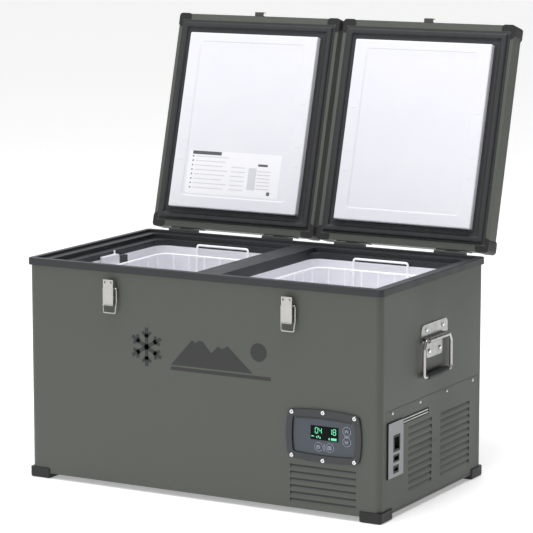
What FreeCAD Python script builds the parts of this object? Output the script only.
import FreeCAD, Part
import math
import os

# Two-lid compressor cooler fridge. Millimetres, +Z up, front towards -Y.
# The origin is on the floor, under the centre of the cabinet.

# ---- driving dimensions ----
BODY_W = 740.0
BODY_D = 424.0
BODY_BOTTOM = 9.5
BODY_TOP = 407.3
BODY_R = 12.0
SHEET = 1.0
PAN_T = 1.2

RIM_PROUD = 3.0
RIM_TOP = 420.5
RIDGE = 12.0
LEDGE_TOP = 415.5
LEDGE = 19.5
SHELF_TOP = 407.0
SHELF_BOTTOM = 404.0
THROAT_BOTTOM = 395.5
BAR_HALF = 26.0

CELL_OUT = 322.0
CELL_HALF_D = 178.0
CELL_R = 25.0
LINER_T = 2.5
LEFT_FLOOR = 50.0
RIGHT_FLOOR = 232.0
BAY_X = 30.0
BAY_TOP = 203.0

LID_X0 = 5.3
LID_X1 = 369.7
LID_FRONT = -217.2
LID_BACK = 217.6
LID_UNDER = 421.5
LID_TOP = 457.5
LID_LIP = 13.0
LID_SIDE_LIP = 7.5
PLUG_HALF_W = 145.5
PLUG_HALF_D = 177.5
PLUG_BOTTOM = 408.5
LID_OPEN_DEG = 105.16

HINGE_Y = 225.1
HINGE_Z = 419.3
HINGE_AT = (80.5, 294.5)
HINGE_HALF = 33.0
KNUCKLE_R = 4.5
KNUCKLE_HALF = 10.4
PIN_R = 2.0
PIN_GAP = 0.05

LATCH_X = 187.5
LATCH_A = (-220.5, 390.0)
LATCH_B = (-217.6, 378.0)
LEVER_HALF = 10.75
LEVER_BOTTOM = 346.8
LEVER_TOP = 394.5
LEVER_FACE = -224.0
LATCH_SHEET = 1.2
LATCH_BASE_HALF = 7.5
LATCH_BASE_Z = (364.0, 391.0)
NOTCH_AT = 6.6
NOTCH_Z = (387.5, 391.8)
BAIL_R = 1.4

PANEL_MID = (257.7, 147.2)
PANEL_HALF = (71.0, 43.0)
PANEL_PROUD = 4.5
PANEL_SCREW_X = 63.0
PANEL_SCREW_DZ = (39.5, 43.5)
WINDOW_HALF = (61.0, 32.5)
WINDOW_FACE = 1.2
BUTTONS = {
    "button_up": (303.5, 161.0),
    "button_down": (303.5, 141.5),
    "button_power": (247.0, 127.5),
    "button_zone": (269.5, 127.5),
}
BUTTON_HALF = (5.5, 4.5)

HANDLE_Z = 303.0
HANDLE_OUT = 8.0
HANDLE_ROD_R = 3.2
HANDLE_HALF = 56.0
HANDLE_NECK = 47.0
HANDLE_KINK = 14.0
HANDLE_DROP = 66.0
GRIP_HALF = 42.0
BARREL_HALF = 50.0
GRIP_R = 6.5

SCREW_HEAD_R = 4.0
SCREW_R = 1.8
SMALL_HEAD_R = 3.0

LOUVRE_PITCH = 12.5
LOUVRE_H = 9.5
LOUVRE_DEPTH = 3.4
FRONT_LOUVRES = ((189.0, 322.0), 90.0, 6)
SIDE_LOUVRES = (((-102.0, -5.0), 155.0, 10), ((31.0, 157.0), 155.0, 10))

INLETS = {
    "ac_inlet": ((-168.0, -141.0), (122.0, 152.0)),
    "dc_inlet": ((-168.0, -144.0), (103.0, 116.5)),
    "usb_socket": ((-168.0, -146.0), (82.9, 96.9)),
}
PLATE_Y = (-187.5, -127.4)
PLATE_Z = (75.5, 177.0)
SLOT_Y = (-124.3, -20.7)
SLOT_Z = (164.2, 175.8)
SLOT_BARS = (167.6, 172.6)

POT_AT = (112.0, 60.0)
POT_R = 56.0
POT_Z = (26.0, 138.0)
MOUNT_SPOTS = [(-57, -37), (57, -37), (-57, 37), (57, 37)]
PIPE_R = 3.0
PIPE_LEVEL = 176.0

FAN_AT = (262.0, 75.0, 95.0)
FAN_HALF = 60.0
FAN_R = 54.0

BASKET_TOP = 383.0
BASKET_HALF = (136.0, 166.0)
BASKET_WIRE = 3.0
BASKET_PITCH = 35.5
LOOP_R = 2.4
LOOP_HALF = 57.5
LOOP_LOW = 343.0
LOOP_TOP = 402.0

HALF_W = BODY_W / 2
HALF_D = BODY_D / 2
CELL_MID = (CELL_OUT + BAR_HALF) / 2
CELL_HALF_W = (CELL_OUT - BAR_HALF) / 2

V = FreeCAD.Vector
X_AXIS = V(1, 0, 0)
Y_AXIS = V(0, 1, 0)
Z_AXIS = V(0, 0, 1)


# ---- shape helpers ----
def box(x, y, z):
    """A block from its (low, high) pair on each axis."""
    size = [high - low for low, high in (x, y, z)]
    return Part.makeBox(*size, V(x[0], y[0], z[0]))


def around(mid, half):
    return (mid - half, mid + half)


def fused(shapes):
    first, *rest = shapes
    return first.fuse(rest).removeSplitter() if rest else first


def mirrored(shape):
    return shape.mirror(V(0, 0, 0), X_AXIS)


def pair(shape):
    """A right-hand shape and its mirror image on the left, as separate solids."""
    return Part.makeCompound([shape, mirrored(shape)])


def round_box(x, y, z, r):
    """A block whose four upright edges have radius r."""
    block = box(x, y, z)
    upright = [e for e in block.Edges if abs(e.tangentAt(e.FirstParameter).z) > 0.99]
    return block.makeFillet(r, upright)


def tray(x, y, z, r, wall, floor):
    """An open-topped box with rounded upright corners."""
    inner_x = (x[0] + wall, x[1] - wall)
    inner_y = (y[0] + wall, y[1] - wall)
    inner = round_box(inner_x, inner_y, (z[0] + floor, z[1] + 1), max(r - wall, 0.5))
    return round_box(x, y, z, r).cut(inner)


def ring(x, y, z, r, wall):
    """A frame of one wall thickness around an open middle."""
    inner_x = (x[0] + wall, x[1] - wall)
    inner_y = (y[0] + wall, y[1] - wall)
    inner = round_box(inner_x, inner_y, (z[0] - 1, z[1] + 1), max(r - wall, 0.5))
    return round_box(x, y, z, r).cut(inner)


def prism_x(points, x):
    """A (y, z) outline run along X."""
    corners = [V(x[0], y, z) for y, z in points]
    face = Part.Face(Part.makePolygon(corners + corners[:1]))
    return face.extrude(V(x[1] - x[0], 0, 0))


def prism_y(points, y):
    """An (x, z) outline run along Y."""
    corners = [V(x, y[0], z) for x, z in points]
    face = Part.Face(Part.makePolygon(corners + corners[:1]))
    return face.extrude(V(0, y[1] - y[0], 0))


def disc(start, axis, r, length):
    return Part.makeCylinder(r, length, V(*start), axis)


def bent_wire(points, bend):
    """Straight runs joined by tangent arcs of radius bend."""
    points = [V(*p) for p in points]
    edges = []
    start = points[0]
    for before, here, after in zip(points, points[1:], points[2:]):
        into = (here - before).normalize()
        out = (after - here).normalize()
        half_turn = into.getAngle(out) / 2
        reach = bend * math.tan(half_turn)
        inward = (out - into).normalize()
        near = here - into * reach
        far = here + out * reach
        mid = here + inward * (bend / math.cos(half_turn) - bend)
        edges.append(Part.makeLine(start, near))
        edges.append(Part.Arc(near, mid, far).toShape())
        start = far
    edges.append(Part.makeLine(start, points[-1]))
    return Part.Wire(edges)


def rod(points, r, bend):
    """A round bar bent along a route."""
    path = bent_wire(points, bend)
    first = V(*points[0])
    section = Part.Wire(Part.makeCircle(r, first, V(*points[1]) - first))
    return path.makePipeShell([section], True, True)


def screw(at, out, length=6.0, head_r=SCREW_HEAD_R):
    """A pan-head screw whose head stands on a surface point, facing out."""
    head = Part.makeCylinder(head_r, 2.2, at, out)
    rim = [e for e in head.Edges if (e.CenterOfMass - at).dot(out) > 2.0]
    head = head.makeFillet(1.2, rim)
    slot = box((-0.5, 0.5), (-2.2, 2.2), (1.6, 3.0))
    slot = slot.fuse(box((-2.2, 2.2), (-0.5, 0.5), (1.6, 3.0)))
    slot.Placement = FreeCAD.Placement(at, FreeCAD.Rotation(Z_AXIS, out))
    return head.cut(slot).fuse(Part.makeCylinder(SCREW_R, length, at, out * -1))


def screw_hole(at, out, length=8.0):
    return Part.makeCylinder(SCREW_R + 0.2, length + 4, at + out * 4, out * -1)


def barrel_face(mid, half, bow, y):
    """A rectangle with gently bowed sides, in an XZ plane."""
    (cx, cz), (hx, hz) = mid, half
    corner = [V(cx + i * hx, y, cz + k * hz) for i, k in ((-1, 1), (1, 1), (1, -1), (-1, -1))]
    bulge = [V(cx, y, cz + hz + bow), V(cx + hx + bow, y, cz)]
    bulge += [V(cx, y, cz - hz - bow), V(cx - hx - bow, y, cz)]
    sides = []
    for n in range(4):
        sides.append(Part.Arc(corner[n], bulge[n], corner[(n + 1) % 4]).toShape())
    return Part.Face(Part.Wire(sides))


def barrel_block(mid, half, bow, y, r):
    block = barrel_face(mid, half, bow, y[0]).extrude(V(0, y[1] - y[0], 0))
    along = [e for e in block.Edges if abs(e.tangentAt(e.FirstParameter).y) > 0.99]
    return block.makeFillet(r, along)


# ---- where things are fastened ----
def bezel_points():
    (cx, cz), front = PANEL_MID, -HALF_D - PANEL_PROUD
    outer, middle = PANEL_SCREW_DZ
    spots = []
    for side in (-1, 1):
        spots += [(cx - PANEL_SCREW_X, cz + side * outer), (cx, cz + side * middle)]
        spots.append((cx + PANEL_SCREW_X, cz + side * outer))
    return [V(x, front, z) for x, z in spots]


def cover_points():
    return [V(HALF_W, y, 192.4) for y in (-168.0, -56.0, 56.0, 168.0)]


def latch_points():
    return [V(s * LATCH_X, -HALF_D - 1.5, z) for s in (-1, 1) for z in (371.0, 382.5)]


def hinge_points():
    across = [s * x + d for s in (-1, 1) for x in HINGE_AT for d in (-20, 20)]
    return [V(x, HALF_D + 5.4, 394.5) for x in across]


# ---- cabinet ----
def louvre(x, top, y):
    """One blade pressed inwards from the plane at y: what is cut away, and what is added behind."""
    low, deep = top - LOUVRE_H, y + LOUVRE_DEPTH
    cut = prism_x([(y - 1, low), (y - 1, top), (deep, top), (y, low)], x)
    blade = [(y, low), (deep, top), (deep + 1, top), (y + 1, low - 0.5), (y, low - 0.5)]
    cheek = [(y, low), (deep + 1, top), (y, top)]
    ends = [prism_x(cheek, (x[0] - 1, x[0])), prism_x(cheek, (x[1], x[1] + 1))]
    return cut, fused([prism_x(blade, x)] + ends)


def louvre_column(x, top, rows, y):
    cuts, blades = zip(*[louvre(x, top - LOUVRE_PITCH * row, y) for row in range(rows)])
    return list(cuts), list(blades)


def side_louvres():
    """Two columns of louvres for the service cover, in the plane of the right wall."""
    turn = FreeCAD.Placement(V(0, 0, 0), FreeCAD.Rotation(Z_AXIS, 90))
    cuts, blades = [], []
    for column, top, rows in SIDE_LOUVRES:
        for shapes, group in zip(louvre_column(column, top, rows, -HALF_W), (cuts, blades)):
            for shape in shapes:
                shape.Placement = turn
                group.append(shape)
    return cuts, blades


def outer_shell():
    z = (BODY_BOTTOM, BODY_TOP)
    wall = ring(around(0, HALF_W), around(0, HALF_D), z, BODY_R, SHEET)
    inside = HALF_W - SHEET
    backing = box((inside - 1.2, inside), (-198, 198), (13, 205))
    backing = backing.cut(box((inside - 2, inside + 1), (-184.5, 184.5), (24, 187)))
    slots, blades = louvre_column(*FRONT_LOUVRES, -HALF_D)
    (cx, cz), (hx, hz) = PANEL_MID, WINDOW_HALF
    window = box(around(cx, hx + 3.5), (-HALF_D - 5, -HALF_D + 5), around(cz, hz + 3.5))
    cover = box((inside, HALF_W + 1), (-190.6, 190.6), (13.4, 198.6))
    holes = [screw_hole(p, -Y_AXIS, 10) for p in bezel_points() + latch_points()]
    holes += [screw_hole(p, X_AXIS) for p in cover_points()]
    holes += [screw_hole(p, Y_AXIS, 10) for p in hinge_points()]
    holes += [disc((-400, y, z), X_AXIS, 2.3, 800) for y, z in rivet_spots()]
    return fused([wall.cut(slots), backing] + blades).cut([window, cover] + holes)


def base_pan():
    lip = SHEET + 0.3
    x, y = around(0, HALF_W - lip), around(0, HALF_D - lip)
    pan = tray(x, y, (BODY_BOTTOM, 22.0), BODY_R, PAN_T, PAN_T)
    louvre_x = FRONT_LOUVRES[0]
    front = box((louvre_x[0] - 3, louvre_x[1] + 3), (-HALF_D, -HALF_D + 6), (16, 30))
    return pan.cut([front, box((HALF_W - 9, HALF_W), (-205, 205), (10.9, 30))])


def side_cover():
    plate = box((HALF_W - SHEET, HALF_W), (-190, 190), (14, 198))
    slots, blades = side_louvres()
    through = (HALF_W - 10, HALF_W + 10)
    holes = [screw_hole(p, X_AXIS) for p in cover_points()]
    holes.append(box(through, (-183, -132), (80, 172)))
    holes.append(box(through, (SLOT_Y[0] - 0.2, SLOT_Y[1] + 0.2), (SLOT_Z[0] - 0.2, SLOT_Z[1] + 0.2)))
    return fused([plate.cut(slots)] + blades).cut(holes)


def top_rim():
    rim_w, rim_d = HALF_W + RIM_PROUD, HALF_D + RIM_PROUD
    block = round_box(around(0, rim_w), around(0, rim_d), (BODY_TOP, RIM_TOP), 9)
    top_edge = [e for e in block.Edges if abs(e.CenterOfMass.z - RIM_TOP) < 0.01]
    block = block.makeFillet(1.5, top_edge)
    well_w, well_d = rim_w - RIDGE, rim_d - RIDGE
    shelf_w, shelf_d = well_w - LEDGE, well_d - LEDGE + 4
    floor = box(around(0, shelf_w + 3), around(0, shelf_d + 3), (SHELF_BOTTOM, BODY_TOP))
    parts = [block, floor]
    cuts = [round_box(around(0, well_w), around(0, well_d), (LEDGE_TOP, 430), 4)]
    for side in (-1, 1):
        mid = side * CELL_MID
        x, y = around(mid, CELL_HALF_W), around(0, CELL_HALF_D)
        collar_x, collar_y = around(mid, CELL_HALF_W + 3), around(0, CELL_HALF_D + 3)
        parts.append(round_box(collar_x, collar_y, (THROAT_BOTTOM, BODY_TOP), CELL_R + 3))
        cuts.append(round_box(x, y, (390, 430), CELL_R))
        shelf_x = sorted((side * BAR_HALF, side * shelf_w))
        cuts.append(round_box(shelf_x, around(0, shelf_d), (SHELF_TOP, 430), 10))
    return fused(parts).cut(cuts)


def liner(side, floor):
    mid = side * CELL_MID
    x = around(mid, CELL_HALF_W + LINER_T)
    y = around(0, CELL_HALF_D + LINER_T)
    z = (floor - LINER_T, THROAT_BOTTOM)
    return tray(x, y, z, CELL_R + LINER_T, LINER_T, LINER_T)


def evaporator(side, z):
    """A plate sleeve with refrigerant channels, wrapped round a liner."""
    grow = LINER_T + 0.3
    mid = side * CELL_MID
    x, y = around(mid, CELL_HALF_W + grow + 1.5), around(0, CELL_HALF_D + grow + 1.5)
    return ring(x, y, z, CELL_R + grow + 1.5, 1.5)


def evaporators():
    return Part.makeCompound([evaporator(-1, (70, 360)), evaporator(1, (245, 375))])


def foam_insulation():
    x, y = around(0, HALF_W - SHEET - 0.3), around(0, HALF_D - SHEET - 0.3)
    foam = round_box(x, y, (22.4, BODY_TOP - 0.3), BODY_R)
    cuts = [box((BAY_X, 400), (-300, 300), (0, BAY_TOP))]
    cuts.append(box((366, 400), (-199, 199), (BAY_TOP - 1, 207)))
    cuts.append(box(around(0, 346), around(0, 192.5), (SHELF_BOTTOM - 0.3, 420)))
    for side, floor in ((-1, LEFT_FLOOR), (1, RIGHT_FLOOR)):
        mid = side * CELL_MID
        grow = LINER_T + 2.2
        x, y = around(mid, CELL_HALF_W + grow), around(0, CELL_HALF_D + grow)
        cuts.append(round_box(x, y, (floor - LINER_T - 0.3, 420), CELL_R + grow))
    cuts += [screw_hole(p, -Y_AXIS, 12) for p in latch_points()]
    cuts += [screw_hole(p, Y_AXIS, 12) for p in hinge_points()]
    return foam.cut(cuts)


def liner_light():
    """A white lamp housing high on the outer wall of the left compartment, with a peg on top."""
    wall, top = -CELL_OUT, 401.0
    body = round_box((wall + 0.3, wall + 10.5), (-44, 13), (352, top), 3)
    shoulder = prism_x([(8, top + 1), (14, top + 1), (14, top - 6)], (wall, wall + 11))
    peg = disc((wall + 5, 2, top - 1), Z_AXIS, 1.8, 8.2)
    return fused([body.cut(shoulder), peg])


def corner_foot(sx, sy):
    proud = 2.5
    x = sorted((sx * (HALF_W - 42), sx * (HALF_W + proud)))
    y = sorted((sy * (HALF_D - 47), sy * (HALF_D + proud)))
    foot = round_box(x, y, (0, 19.6), 5)
    bottom = [e for e in foot.Edges if abs(e.CenterOfMass.z) < 0.01]
    foot = foot.makeChamfer(2.0, bottom)
    keep = round_box(around(0, HALF_W + 0.1), around(0, HALF_D + 0.1), (BODY_BOTTOM, 30), BODY_R)
    return foot.cut(keep)


def corner_feet():
    return Part.makeCompound([corner_foot(sx, sy) for sx in (-1, 1) for sy in (-1, 1)])


def panhead_screws():
    screws = [screw(p, -Y_AXIS, 9) for p in bezel_points()]
    screws += [screw(p, X_AXIS, 6, SMALL_HEAD_R) for p in cover_points()]
    screws += [screw(p, -Y_AXIS, 8) for p in latch_points()]
    screws += [screw(p, Y_AXIS, 12) for p in hinge_points()]
    return Part.makeCompound(screws)


# ---- control panel ----
def control_bezel():
    y = (-HALF_D - PANEL_PROUD, -HALF_D)
    block = barrel_block(PANEL_MID, PANEL_HALF, 5.0, y, 9)
    rim = [e for e in block.Edges if abs(e.CenterOfMass.y - y[0]) < 0.01]
    block = block.makeFillet(1.6, rim)
    opening = barrel_block(PANEL_MID, WINDOW_HALF, 2.5, (y[0] - 1, y[1] + 1), 6)
    return block.cut([opening] + [screw_hole(p, -Y_AXIS) for p in bezel_points()])


def control_window():
    y = (-HALF_D - WINDOW_FACE, -HALF_D + 1.2)
    plate = barrel_block(PANEL_MID, (WINDOW_HALF[0] - 0.3, WINDOW_HALF[1] - 0.3), 2.5, y, 6)
    holes = [button_block(at, 0.2, (y[0] - 1, y[1] + 1)) for at in BUTTONS.values()]
    return plate.cut(holes)


def button_block(at, grow, y):
    x = around(at[0], BUTTON_HALF[0] + grow)
    z = around(at[1], BUTTON_HALF[1] + grow)
    block = box(x, y, z)
    along = [e for e in block.Edges if abs(e.tangentAt(e.FirstParameter).y) > 0.99]
    return block.makeFillet(2.0, along)


def button(at):
    return button_block(at, 0, (-HALF_D - WINDOW_FACE - 0.9, -HALF_D + 2.2))


def display_lens():
    face = -HALF_D - WINDOW_FACE
    return box((231, 287), (face - 0.5, face), (140, 165.5))


def control_board():
    board = box((202, 319), (-204.6, -203), (114, 177))
    chips = [box((206, 222), (-203, -199), (120, 136)), box((230, 262), (-203, -196), (118, 128))]
    chips.append(box((270, 300), (-203, -193), (150, 165)))
    chips.append(box((232, 286), (-208.6, -204.6), (141, 164)))
    return fused([board] + chips)


# ---- power inlets on the service cover ----
def power_housing():
    face = HALF_W + 3.0
    plate = box((HALF_W, face), PLATE_Y, PLATE_Z)
    rear = box((HALF_W - 22, HALF_W), (-182.4, -132.6), (80.6, 171.4))
    cavity = box((HALF_W - 20, HALF_W - 1.5), (-180.4, -134.6), (82.6, 169.4))
    cuts = [cavity]
    cuts += [box((HALF_W - 2, face + 1), y, z) for y, z in INLETS.values()]
    return fused([plate, rear]).cut(cuts)


def socket(name, wall, pins):
    """An inlet with an open mouth, its contacts standing on the floor of the cavity."""
    (y0, y1), (z0, z1) = INLETS[name]
    y, z = (y0 + 0.15, y1 - 0.15), (z0 + 0.15, z1 - 0.15)
    outer = box((HALF_W - 15, HALF_W + 3.6), y, z)
    mouth = box((HALF_W - 12, HALF_W + 5), (y[0] + wall, y[1] - wall), (z[0] + wall, z[1] - wall))
    return fused([outer.cut(mouth)] + pins)


def ac_inlet():
    (y0, y1), (z0, z1) = INLETS["ac_inlet"]
    mid_y, mid_z = (y0 + y1) / 2, (z0 + z1) / 2
    spots = [(-5, 3.5), (5, 3.5), (0, -4.5)]
    deep = (HALF_W - 13, HALF_W - 1)
    pins = [box(deep, around(mid_y + a, 1.0), around(mid_z + b, 2.2)) for a, b in spots]
    return socket("ac_inlet", 4.0, pins)


def dc_inlet():
    (y0, y1), (z0, z1) = INLETS["dc_inlet"]
    mid_y, mid_z = (y0 + y1) / 2, (z0 + z1) / 2
    pins = [disc((HALF_W - 13, mid_y + a, mid_z), X_AXIS, 1.3, 11) for a in (-4.5, 4.5)]
    return socket("dc_inlet", 2.6, pins)


def usb_socket():
    (y0, y1), (z0, z1) = INLETS["usb_socket"]
    mid_y, mid_z = (y0 + y1) / 2, (z0 + z1) / 2
    tongue = box((HALF_W - 13, HALF_W), around(mid_y, 5.5), around(mid_z, 1.0))
    return socket("usb_socket", 3.4, [tongue])


def slot_frame():
    """A black insert with two bright bars across its opening."""
    y, z = SLOT_Y, SLOT_Z
    outer = box((HALF_W - 12, HALF_W + 1.2), y, z)
    cavity = box((HALF_W - 10.5, HALF_W + 3), (y[0] + 1.4, y[1] - 1.4), (z[0] + 1.2, z[1] - 1.2))
    along = (y[0] + 1, y[1] - 1)
    bars = [box((HALF_W - 3, HALF_W + 0.4), along, around(level, 1.2)) for level in SLOT_BARS]
    return fused([outer.cut(cavity)] + bars)


# ---- cooling machinery ----
def compressor():
    x, y = POT_AT
    low, high = POT_Z
    pot = disc((x, y, low), Z_AXIS, POT_R, high - low)
    ends = [e for e in pot.Edges if min(abs(e.CenterOfMass.z - z) for z in POT_Z) < 0.1]
    pot = pot.makeFillet(24, ends)
    seam = disc((x, y, 78), Z_AXIS, POT_R + 2, 5)
    plate = box(around(x, 66), around(y, 46), (low - 3, low))
    holes = [disc((x + a, y + b, 10), Z_AXIS, 5.2, 20) for a, b in MOUNT_SPOTS]
    stub = disc((x + 30, y + 20, 120), Z_AXIS, PIPE_R, 30)
    return fused([pot, seam, plate.cut(holes), stub])


def compressor_mounts():
    feet = []
    for a, b in MOUNT_SPOTS:
        x, y = POT_AT[0] + a, POT_AT[1] + b
        foot = disc((x, y, PAN_T + BODY_BOTTOM), Z_AXIS, 8, 12.1)
        feet.append(foot.fuse(disc((x, y, 20), Z_AXIS, 5, 8)))
    return Part.makeCompound(feet)


def compressor_controller():
    base = box((60, 170), (-165, -95), (PAN_T + BODY_BOTTOM, 46))
    fins = [box((64 + 12 * n, 68 + 12 * n), (-161, -99), (46, 60)) for n in range(9)]
    return fused([base] + fins)


def condenser():
    """Fins on four tubes, behind the side louvres."""
    fins = [box((318, 350), (y, y + 1.2), (28, 168)) for y in range(-60, 176, 12)]
    tubes = [disc((334, -70, z), Y_AXIS, 4, 262) for z in (45, 80, 115, 150)]
    turns = ((190, (45, 80)), (190, (115, 150)), (-68, (80, 115)))
    bends = [box((331, 337), around(y, 3), z) for y, z in turns]
    foot = box((322, 346), (-60, 170), (PAN_T + BODY_BOTTOM, 28))
    return fused(fins + tubes + bends + [foot.cut(box((330, 338), (-50, 160), (0, 24)))])


def fan_frame():
    x0, cy, cz = FAN_AT
    frame = box((x0, x0 + 26), around(cy, FAN_HALF), around(cz, FAN_HALF))
    frame = frame.cut(disc((x0 - 1, cy, cz), X_AXIS, FAN_R + 2, 30))
    hub = disc((x0 + 20, cy, cz), X_AXIS, 16, 6)
    arms = [box((x0 + 22, x0 + 26), around(cy, 2.5), around(cz, FAN_HALF - 2))]
    arms.append(box((x0 + 22, x0 + 26), around(cy, FAN_HALF - 2), around(cz, 2.5)))
    foot = box((x0 + 2, x0 + 24), around(cy, 40), (PAN_T + BODY_BOTTOM, cz - FAN_HALF))
    bore = disc((x0 + 10, cy, cz), X_AXIS, PIN_R + PIN_GAP, 20)
    return fused([frame, hub, foot] + arms).cut(bore)


def fan_rotor():
    x0, cy, cz = FAN_AT
    hub = disc((x0 + 3, cy, cz), X_AXIS, 19, 14)
    shaft = disc((x0 + 10, cy, cz), X_AXIS, PIN_R, 15)
    blades = []
    for n in range(7):
        blade = box((x0 + 4, x0 + 16), (-1.0, 1.0), (15, FAN_R))
        blade.rotate(V(x0 + 10, 0, 30), Z_AXIS, 35)
        blade.translate(V(0, cy, cz))
        blade.rotate(V(x0, cy, cz), X_AXIS, 360.0 / 7 * n)
        blades.append(blade)
    return fused([hub, shaft] + blades)


def refrigerant_pipes():
    """Discharge and liquid lines, with the filter drier between them."""
    high, bend = PIPE_LEVEL, 8
    hot = [(142, 80, 151), (142, 80, high), (230, 80, high), (230, 182, high), (318, 182, high)]
    hot.append((318, 182, 170))
    cold = [(280, -40, high), (334, -40, high), (334, -82, high), (334, -82, 90)]
    tail = [(200, -40, high), (60, -40, high), (60, -40, 200)]
    drier = disc((200, -40, high), X_AXIS, 11, 80)
    liquid = fused([drier, rod(cold, PIPE_R, bend), rod(tail, PIPE_R, bend)])
    return Part.makeCompound([rod(hot, PIPE_R, bend), liquid])


# ---- side handles ----
def rivet_spots():
    return [(-34.0, 320.5), (34.0, 320.5), (-22.0, 280.0), (22.0, 280.0)]


def flange(y_half, z, r, rounded_side):
    """A flat riveted ear of the handle plate, with two rounded corners."""
    plate = box((HALF_W, HALF_W + 1.5), around(0, y_half), z)
    across = [e for e in plate.Edges if abs(e.tangentAt(e.FirstParameter).x) > 0.99]
    return plate.makeFillet(r, [e for e in across if abs(e.CenterOfMass.z - rounded_side) < 0.1])


def handle_plate():
    """Right-hand plate: flanges riveted to the wall and a barrel that holds the rod."""
    wall = HALF_W
    upper = flange(54.5, (HANDLE_Z, 331), 10, 331)
    lower = flange(33, (268, HANDLE_Z), 6, 268)
    axis = wall + HANDLE_OUT
    barrel = disc((axis, -BARREL_HALF, HANDLE_Z), Y_AXIS, 5.6, 2 * BARREL_HALF)
    webs = box((wall, axis), around(0, BARREL_HALF), around(HANDLE_Z, 4.2))
    holes = [disc((wall - 1, y, z), X_AXIS, 2.3, 6) for y, z in rivet_spots()]
    bore = disc((axis, -60, HANDLE_Z), Y_AXIS, HANDLE_ROD_R + PIN_GAP, 120)
    swing = [box((wall + 1.5, wall + 20), y, (290, 312)) for y in ((-60, -39), (39, 60))]
    return fused([upper, lower, barrel, webs]).cut([bore] + swing + holes)


def handle_bail():
    """A bent rod: short ends in the barrel, then legs that step outwards and drop to the grip."""
    axis, low = HALF_W + HANDLE_OUT, HANDLE_Z - HANDLE_DROP
    kink = HANDLE_Z - HANDLE_KINK
    leg = [(axis, -26, HANDLE_Z), (axis, -HANDLE_NECK, HANDLE_Z)]
    leg += [(axis, -HANDLE_HALF, kink), (axis, -HANDLE_HALF, low)]
    other = [(x, -y, z) for x, y, z in reversed(leg)]
    return rod(leg + other, HANDLE_ROD_R, 6.0)


def handle_grip():
    axis, low = HALF_W + HANDLE_OUT, HANDLE_Z - HANDLE_DROP
    tube = disc((axis, -GRIP_HALF, low), Y_AXIS, GRIP_R, 2 * GRIP_HALF)
    return tube.cut(disc((axis, -60, low), Y_AXIS, HANDLE_ROD_R, 120))


def handle_rivets():
    wall = HALF_W
    rivets = []
    for y, z in rivet_spots():
        head = disc((wall + 1.5, y, z), X_AXIS, 4.2, 2.2)
        head = head.makeFillet(1.8, [e for e in head.Edges if e.CenterOfMass.x > wall + 3.6])
        shank = disc((wall - 1.0, y, z), X_AXIS, 2.1, 3)
        rivets.append(fused([head, shank]))
    return pair(Part.makeCompound(rivets))


# ---- toggle latches ----
def latch_base(mid):
    y, z = LATCH_A
    back, half = -HALF_D, LATCH_BASE_HALF
    plate = box(around(mid, half), (back - 1.5, back), LATCH_BASE_Z)
    ear = [(back - 1, z - 12), (y - 0.6, z - 4.2), (y - 2, z - 2.2), (y - 2.7, z), (y - 1.6, z + 2.2)]
    ear += [(y + 0.8, z + 2.2), (y + 2, z + 0.4), (y + 2.2, z - 1.4), (y + 4.2, z - 4.6)]
    ear.append((back - 1, z - 6.2))
    parts = [plate]
    parts += [prism_x(ear, sorted((mid + s * (half - 1.5), mid + s * half))) for s in (-1, 1)]
    parts.append(disc((mid - LEVER_HALF - 0.3, y, z), X_AXIS, 1.5, 2 * LEVER_HALF + 0.6))
    holes = [disc((mid, 5 - HALF_D, p.z), -Y_AXIS, 2.0, 9) for p in latch_points()[:2]]
    return fused(parts).cut(holes)


def latch_lever(mid):
    """A pressed lever with two windows under its top edge and a finger toe at the bottom."""
    (ay, az), (by, bz) = LATCH_A, LATCH_B
    face, low = LEVER_FACE, LEVER_BOTTOM
    plate = box(around(mid, LEVER_HALF), (face, face + LATCH_SHEET), (low, LEVER_TOP))
    toe = box(around(mid, LEVER_HALF), (face - 2.2, face + 0.2), (low, low + 1.2))
    side = [(face + 0.4, low + 2.5), (-218, low + 2.5), (-214.8, low + 8), (-214.8, 384)]
    side += [(-216.5, 389), (-219, 394), (face + 0.4, 394)]
    parts = [plate, toe]
    for s in (-1, 1):
        parts.append(prism_x(side, sorted((mid + s * (LEVER_HALF - LATCH_SHEET), mid + s * LEVER_HALF))))
    holes = [disc((mid - 20, ay, az), X_AXIS, 1.5 + PIN_GAP, 40)]
    holes.append(disc((mid - 20, by, bz), X_AXIS, BAIL_R + PIN_GAP, 40))
    holes += [box(around(mid + s * NOTCH_AT, 1.6), (face - 1, face + 2), NOTCH_Z) for s in (-1, 1)]
    return fused(parts).cut(holes)


def latch_bail(mid):
    by, bz = LATCH_B
    route = [(-9.0, by, bz), (-14.1, by, bz), (-14.1, by, 352), (-12.4, -219.5, 332)]
    route += [(-x, y, z) for x, y, z in reversed(route)]
    return rod([(mid + x, y, z) for x, y, z in route], BAIL_R, 2.4)


# ---- hinges ----
def hinge_leaf_body(mid):
    back = HALF_D
    plate = [(back, 388), (back + 5.4, 388), (back + 5.4, 413), (back + RIM_PROUD, 413)]
    plate += [(back + RIM_PROUD, BODY_TOP), (back, BODY_TOP)]
    arm = [(back + 5, 400), (back + 7.5, 400), (229.3, 418), (222, 421), (back + 5, 412)]
    parts = [prism_x(plate, around(mid, HINGE_HALF))]
    for x in ((mid - HINGE_HALF, mid - 11), (mid + 11, mid + HINGE_HALF)):
        parts.append(prism_x(arm, x))
        parts.append(disc((x[0], HINGE_Y, HINGE_Z), X_AXIS, KNUCKLE_R, x[1] - x[0]))
    bore = disc((mid - 40, HINGE_Y, HINGE_Z), X_AXIS, PIN_R + PIN_GAP, 80)
    holes = [disc((mid + d, back - 5, 394.5), Y_AXIS, SCREW_R + 0.2, 20) for d in (-20, 20)]
    return fused(parts).cut([bore] + holes)


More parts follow.
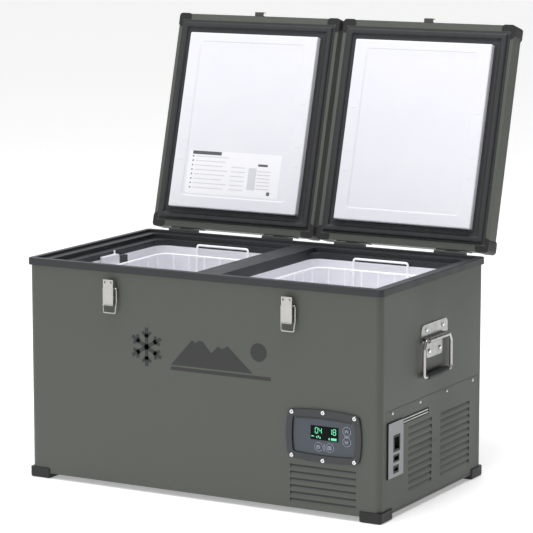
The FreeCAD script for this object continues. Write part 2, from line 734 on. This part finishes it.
def hinge_leaf_lid(mid):
    """Drawn for a closed lid."""
    back = LID_BACK
    plate = box(around(mid, HINGE_HALF), (back, back + 2), (424, 446))
    arm = [(back + 1.5, 442), (back + 1.5, 425), (221.5, 417.5), (228.8, 422), (223, 442)]
    x = around(mid, KNUCKLE_HALF)
    knuckle = disc((x[0], HINGE_Y, HINGE_Z), X_AXIS, KNUCKLE_R, 2 * KNUCKLE_HALF)
    bore = disc((mid - 40, HINGE_Y, HINGE_Z), X_AXIS, PIN_R + PIN_GAP, 80)
    return fused([plate, prism_x(arm, x), knuckle]).cut(bore)


def hinge_mids():
    return [s * x for s in (-1, 1) for x in HINGE_AT]


def hinge_leaves():
    return Part.makeCompound([hinge_leaf_body(mid) for mid in hinge_mids()])


def hinge_pins():
    starts = [(mid - HINGE_HALF, HINGE_Y, HINGE_Z) for mid in hinge_mids()]
    return Part.makeCompound([disc(start, X_AXIS, PIN_R, 2 * HINGE_HALF) for start in starts])


# ---- lids, drawn closed and on the right ----
LID_MID = (LID_X0 + LID_X1) / 2
LID_HALF = (LID_X1 - LID_X0) / 2


def lid_shell():
    x, y = (LID_X0, LID_X1), (LID_FRONT, LID_BACK)
    block = round_box(x, y, (LID_UNDER, LID_TOP), 6)
    top_edge = [e for e in block.Edges if abs(e.CenterOfMass.z - LID_TOP) < 0.01]
    block = block.makeFillet(3.0, top_edge)
    t = 1.2
    hollow = round_box((x[0] + t, x[1] - t), (y[0] + t, y[1] - t), (LID_UNDER + t, LID_TOP - t), 5)
    mouth_x, mouth_y = (x[0] + LID_SIDE_LIP, x[1] - LID_SIDE_LIP), (y[0] + LID_LIP, y[1] - LID_LIP)
    return block.cut([hollow, round_box(mouth_x, mouth_y, (400, LID_UNDER + 3), 4)])


def lid_gasket():
    """A soft frame round the plug, with a thin web that reaches out to the lip of the shell."""
    x, y = around(LID_MID, LID_HALF - LID_SIDE_LIP - 3.5), around(0, 202.5)
    outer = round_box(x, y, (416.4, 422.6), 4)
    lower = [e for e in outer.Edges if abs(e.CenterOfMass.z - 416.4) < 0.01]
    outer = outer.makeFillet(2.5, lower)
    web_x, web_y = around(LID_MID, LID_HALF - LID_SIDE_LIP - 0.3), around(0.2, 217.4 - LID_LIP - 0.3)
    web = round_box(web_x, web_y, (421.0, 422.6), 4)
    inner_x, inner_y = around(LID_MID, PLUG_HALF_W + 0.3), around(0, PLUG_HALF_D + 0.3)
    return fused([outer, web]).cut(round_box(inner_x, inner_y, (400, 440), 3))


def lid_liner():
    x, y = around(LID_MID, PLUG_HALF_W), around(0, PLUG_HALF_D)
    plug = round_box(x, y, (PLUG_BOTTOM, 424.6), 3)
    lower = [e for e in plug.Edges if abs(e.CenterOfMass.z - PLUG_BOTTOM) < 0.01]
    plug = plug.makeFillet(2.5, lower)
    flange_x, flange_y = around(LID_MID, LID_HALF - 3), around(0.2, 214.0)
    skirt = box(flange_x, flange_y, (423.0, 424.6))
    inner_x, inner_y = around(LID_MID, PLUG_HALF_W - 2.5), around(0, PLUG_HALF_D - 2.5)
    pocket = round_box(inner_x, inner_y, (PLUG_BOTTOM + 2.5, 430), 2)
    return fused([plug, skirt]).cut(pocket)


def lid_foam():
    t = 1.5
    x, y = (LID_X0 + t, LID_X1 - t), (LID_FRONT + t, LID_BACK - t)
    slab = round_box(x, y, (424.9, LID_TOP - t - 1.6), 5)
    inner_x, inner_y = around(LID_MID, PLUG_HALF_W - 2.8), around(0, PLUG_HALF_D - 2.8)
    return fused([slab, round_box(inner_x, inner_y, (PLUG_BOTTOM + 2.8, 425), 2)])


def lid_corner(sx, sy):
    """One moulded cap: two side walls, a top leg and an under leg."""
    leg, proud, skin = 28.0, 1.4, 0.05
    corner_x = LID_MID + sx * (LID_HALF + proud)
    corner_y = 0.2 + sy * (217.4 + proud)
    x = sorted((corner_x, corner_x - sx * leg))
    y = sorted((corner_y, corner_y - sy * leg))
    cap = round_box(x, y, (LID_UNDER - 0.5, LID_TOP + 1.2), 7)
    lid_x, lid_y = around(LID_MID, LID_HALF + skin), around(0.2, 217.4 + skin)
    body = round_box(lid_x, lid_y, (LID_UNDER - skin, LID_TOP + skin), 6)
    notch_x = sorted((corner_x - sx * (LID_SIDE_LIP + 0.9), corner_x - sx * 60))
    notch_y = sorted((corner_y - sy * LID_LIP, corner_y - sy * 60))
    notch = box(notch_x, notch_y, (400, 470))
    return cap.cut([body, notch])


def lid_corners():
    return Part.makeCompound([lid_corner(sx, sy) for sx in (-1, 1) for sy in (-1, 1)])


def lid_keeper():
    """The hook that the wire bail pulls down on."""
    front = LID_FRONT
    x = around(LATCH_X, 9.75)
    plate = box(x, (front - 1.2, front), (420.9, 446))
    hook = [(front - 1, 420.9), (front - 7.8, 420.9), (front - 8.6, 430), (front - 7.4, 430)]
    hook += [(front - 6.8, 422.2), (front - 1, 422.2)]
    return fused([plate, prism_x(hook, x)])


LID_PARTS = {
    "lid_shell": lid_shell,
    "lid_gasket": lid_gasket,
    "lid_liner": lid_liner,
    "lid_foam": lid_foam,
    "lid_corners": lid_corners,
    "lid_keeper": lid_keeper,
    "lid_hinge_leaves": lambda: Part.makeCompound([hinge_leaf_lid(x) for x in HINGE_AT]),
}


def opened(shape):
    """A closed lid's piece, turned back onto its open stop."""
    shape.rotate(V(0, HINGE_Y, HINGE_Z), X_AXIS, -LID_OPEN_DEG)
    return shape


# ---- wire baskets ----
def openings_along(low, high):
    """The gaps between wires at one pitch, centred on zero and kept inside (low, high)."""
    gaps = []
    for n in range(-6, 6):
        start = max(n * BASKET_PITCH + BASKET_WIRE / 2, low)
        end = min((n + 1) * BASKET_PITCH - BASKET_WIRE / 2, high)
        if end - start > 1:
            gaps.append((start, end))
    return gaps


def levels(bottom, tiers):
    """The gaps between the level wires of a basket wall."""
    step = (BASKET_TOP - bottom) / tiers
    lows = [bottom + step * n for n in range(tiers)]
    return [(low + BASKET_WIRE, low + step - BASKET_WIRE * 0.7) for low in lows]


def basket(side, bottom, tiers):
    """Welded mats of square wire: a floor, four walls, and a loop handle leaning back."""
    mid, (half_x, half_y), wire = side * CELL_MID, BASKET_HALF, BASKET_WIRE
    x, y = around(mid, half_x), around(0, half_y)
    inner_x, inner_y = around(mid, half_x - wire), around(0, half_y - wire)
    across_x = [(mid + a, mid + b) for a, b in openings_along(wire - half_x, half_x - wire)]
    across_y = openings_along(wire - half_y, half_y - wire)
    wall_z = (bottom, BASKET_TOP)
    rows = levels(bottom, tiers)
    floor = box(inner_x, inner_y, (bottom, bottom + wire))
    floor_y = ((-half_y + 2 * wire, -wire / 2), (wire / 2, half_y - 2 * wire))
    parts = [floor.cut([box(gap, low, (bottom - 1, bottom + 9)) for gap in across_x for low in floor_y])]
    for low in (y[0], y[1] - wire):
        cuts = [box(gap, (low - 1, low + 9), z) for gap in across_x for z in rows]
        parts.append(box(inner_x, (low, low + wire), wall_z).cut(cuts))
    for low in (x[0], x[1] - wire):
        cuts = [box((low - 1, low + 9), gap, z) for gap in across_y for z in rows]
        parts.append(box((low, low + wire), y, wall_z).cut(cuts))
    foot, head = half_y + LOOP_R, half_y + 6
    lean = V(0, head - foot, LOOP_TOP - LOOP_R - LOOP_LOW)
    for s in (-1, 1):
        parts.append(disc((mid + s * LOOP_HALF, foot, LOOP_LOW), lean, LOOP_R, lean.Length))
    parts.append(disc((mid - LOOP_HALF - LOOP_R, head, LOOP_TOP), X_AXIS, LOOP_R, 2 * (LOOP_HALF + LOOP_R)))
    return Part.makeCompound(parts)


# ---- write one file per piece ----
def right_and_left(name, shape, shapes):
    shapes[name + "_left"] = mirrored(shape)
    shapes[name + "_right"] = shape


def main():
    shapes = {
        "outer_shell": outer_shell(),
        "base_pan": base_pan(),
        "side_cover": side_cover(),
        "top_rim": top_rim(),
        "liner_left": liner(-1, LEFT_FLOOR),
        "liner_right": liner(1, RIGHT_FLOOR),
        "foam_insulation": foam_insulation(),
        "evaporators": evaporators(),
        "liner_light": liner_light(),
        "corner_feet": corner_feet(),
        "panhead_screws": panhead_screws(),
        "control_bezel": control_bezel(),
        "control_window": control_window(),
        "display_lens": display_lens(),
        "control_board": control_board(),
        "power_housing": power_housing(),
        "ac_inlet": ac_inlet(),
        "dc_inlet": dc_inlet(),
        "usb_socket": usb_socket(),
        "slot_frame": slot_frame(),
        "compressor": compressor(),
        "compressor_mounts": compressor_mounts(),
        "compressor_controller": compressor_controller(),
        "condenser": condenser(),
        "fan_frame": fan_frame(),
        "fan_rotor": fan_rotor(),
        "refrigerant_pipes": refrigerant_pipes(),
        "handle_plates": pair(handle_plate()),
        "handle_rivets": handle_rivets(),
        "latch_bases": pair(latch_base(LATCH_X)),
        "hinge_leaves": hinge_leaves(),
        "hinge_pins": hinge_pins(),
        "basket_left": basket(-1, LEFT_FLOOR + 0.4, 3),
        "basket_right": basket(1, RIGHT_FLOOR + 0.4, 1),
    }
    for name, at in BUTTONS.items():
        shapes[name] = button(at)
    right_and_left("handle_bail", handle_bail(), shapes)
    right_and_left("handle_grip", handle_grip(), shapes)
    right_and_left("latch_lever", latch_lever(LATCH_X), shapes)
    right_and_left("latch_bail", latch_bail(LATCH_X), shapes)
    for name, make in LID_PARTS.items():
        right_and_left(name, opened(make()), shapes)
    os.makedirs("parts", exist_ok=True)
    for name, shape in shapes.items():
        shape.exportStep("parts/" + name + ".step")
        volume = round(shape.Volume / 1000, 1)
        print(name, "solids", len(shape.Solids), "valid", shape.isValid(), "cm3", volume)


main()
